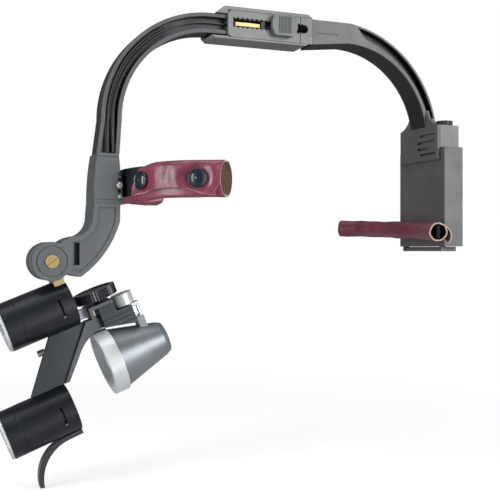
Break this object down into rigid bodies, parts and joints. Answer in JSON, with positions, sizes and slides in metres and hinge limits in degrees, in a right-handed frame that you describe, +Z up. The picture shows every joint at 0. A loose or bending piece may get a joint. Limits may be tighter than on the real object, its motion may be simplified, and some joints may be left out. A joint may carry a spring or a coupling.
{
  "type": "dental loupes",
  "caption": "Head-worn binocular loupes with a lamp: overhead arch with a crown slide, leather brow and nape bands, rear battery box, flip-up optics.",
  "frame": {"origin": "the head_rest mount: the middle of the wearer's head, 7 mm above the hinge that the loupes tilt on", "axes": "+Z up, -X the wearer's front, -Y the wearer's left"},
  "size_m": [0.3201, 0.1442, 0.3078],
  "materials": {
    "grey_plastic": "satin light grey moulding",
    "dark_plastic": "satin charcoal moulding",
    "black_plastic": "black moulding",
    "bracket_plastic": "fine spark-textured grey moulding",
    "panel_plastic": "fine spark-textured grey inlay",
    "knob_plastic": "ribbed grey moulding",
    "cable_jacket": "satin black sheath",
    "burgundy_leather": "smooth burgundy hide, pale cut edge",
    "snap_black": "gloss black enamel",
    "barrel_black": "black satin anodised",
    "plate_black": "dark anodised",
    "plate_grey": "grey anodised",
    "lever_black": "dark anodised, rubbed edges",
    "knob_black": "knurled, black anodised",
    "lamp_black": "black satin anodised",
    "silver": "bright satin anodised",
    "bright_steel": "polished",
    "spring_steel": "dark steel",
    "brass": "machined brass",
    "lens_glass": "coated glass",
    "reflector": "bright reflector",
    "led_sink": "machined, with emitter",
    "pale_nylon": "translucent nylon",
    "circuit_board": "green board",
    "cell_wrap": "wrapped cell"
  },
  "bodies": {
    "rear_frame": {"slide_housing": "grey_plastic", "slide_cover": "grey_plastic", "lock_spring": "spring_steel", "rear_arch": "dark_plastic", "module_inner_cover": "dark_plastic", "module_shell": "grey_plastic", "driver_board": "circuit_board", "cable_socket": "black_plastic", "battery_shell": "dark_plastic", "battery_cell": "cell_wrap", "nape_core": "black_plastic", "nape_leather": "burgundy_leather"},
    "lock_button": {"lock_knob": "knob_plastic"},
    "front_frame": {"front_arch": "dark_plastic", "slide_rack": "brass", "lamp_cables": "cable_jacket", "forehead_bracket": "bracket_plastic", "height_pins": "bright_steel", "loupe_arm": "bracket_plastic", "arm_panels": "panel_plastic", "hinge_screw": "brass"},
    "brow_band": {"brow_slider": "black_plastic", "brow_plate": "black_plastic", "brow_leather": "burgundy_leather", "brow_snaps": "snap_black"},
    "loupe_head": {"hinge_tongue": "dark_plastic", "hinge_saddle": "brass", "upper_barrel_tube": "barrel_black", "upper_front_sleeve": "barrel_black", "upper_bezel": "silver", "upper_objective": "lens_glass", "bridge_plate": "plate_black", "bridge_flange": "plate_grey", "plate_screw": "spring_steel", "carrier_block": "plate_black", "carrier_frame": "plate_grey", "eyepiece_stop": "pale_nylon", "lamp_guide": "bright_steel"},
    "upper_eyepiece": {"upper_eyepiece_cell": "barrel_black", "upper_eyepiece_lens": "lens_glass", "upper_focus_pin": "spring_steel"},
    "lower_barrel": {"lower_barrel_tube": "barrel_black", "lower_front_sleeve": "barrel_black", "lower_bezel": "silver", "lower_objective": "lens_glass", "lower_lever": "lever_black", "spacing_rods": "bright_steel"},
    "lower_eyepiece": {"lower_eyepiece_cell": "barrel_black", "lower_eyepiece_lens": "lens_glass", "lower_focus_pin": "spring_steel"},
    "spacing_knob": {"spacing_knob": "knob_black"},
    "thumb_screw": {"thumb_screw": "silver"},
    "lamp": {"lamp_housing": "lamp_black", "lamp_rim": "silver", "lamp_lens": "lens_glass", "lamp_reflector": "reflector", "lamp_led": "led_sink"},
    "dimmer": {"dimmer_wheel": "black_plastic"},
    "battery_door": {"battery_door": "dark_plastic"}
  },
  "joints": [
    {"name": "crown_slide", "type": "slide", "parent": "rear_frame", "child": "front_frame", "axis": [-1, 0, 0], "range_m": [-0.006, 0.012]},
    {"name": "lock_press", "type": "slide", "parent": "rear_frame", "child": "lock_button", "axis": [0, 1, 0], "range_m": [0, 0.0012], "stiffness_N_per_m": 600, "springref_m": -0.0005},
    {"name": "brow_height", "type": "slide", "parent": "front_frame", "child": "brow_band", "axis": [0, 0, 1], "range_m": [-0.0035, 0.0035]},
    {"name": "loupe_tilt", "type": "hinge", "parent": "front_frame", "child": "loupe_head", "pos_m": [-0.135, 0, -0.007], "axis": [0, 1, 0], "range_deg": [-5, 75]},
    {"name": "spacing_turn", "type": "hinge", "parent": "loupe_head", "child": "spacing_knob", "pos_m": [-0.10583, 0, -0.02793], "axis": [-0.3665, 0, 0.9304], "range_deg": [0, 360]},
    {"name": "eye_spacing", "type": "slide", "parent": "loupe_head", "child": "lower_barrel", "axis": [0.3665, 0, -0.9304], "range_m": [0, 0.004]},
    {"name": "upper_focus", "type": "hinge", "parent": "loupe_head", "child": "upper_eyepiece", "pos_m": [-0.12132, 0, -0.03199], "axis": [-0.9304, 0, -0.3665], "range_deg": [0, 40]},
    {"name": "lower_focus", "type": "hinge", "parent": "lower_barrel", "child": "lower_eyepiece", "pos_m": [-0.12018, 0, -0.09764], "axis": [-0.9304, 0, -0.3665], "range_deg": [0, 40]},
    {"name": "lamp_tilt", "type": "hinge", "parent": "loupe_head", "child": "lamp", "pos_m": [-0.07715, 0, -0.04425], "axis": [0, 1, 0], "range_deg": [-15, 0]},
    {"name": "thumb_turn", "type": "hinge", "parent": "loupe_head", "child": "thumb_screw", "pos_m": [-0.08837, 0, -0.03159], "axis": [-0.3665, 0, 0.9304], "continuous": true},
    {"name": "dimmer_turn", "type": "hinge", "parent": "rear_frame", "child": "dimmer", "pos_m": [0.1435, -0.018, 0.0908], "axis": [0, 0, 1], "range_deg": [0, 270]},
    {"name": "battery_door_open", "type": "hinge", "parent": "rear_frame", "child": "battery_door", "pos_m": [0.1386, 0, 0.0007], "axis": [0, 1, 0], "range_deg": [0, 95]}
  ],
  "couplings": [
    {"joint": "spacing_turn", "follows": "eye_spacing", "rad_per_m": 1570.8}
  ]
}
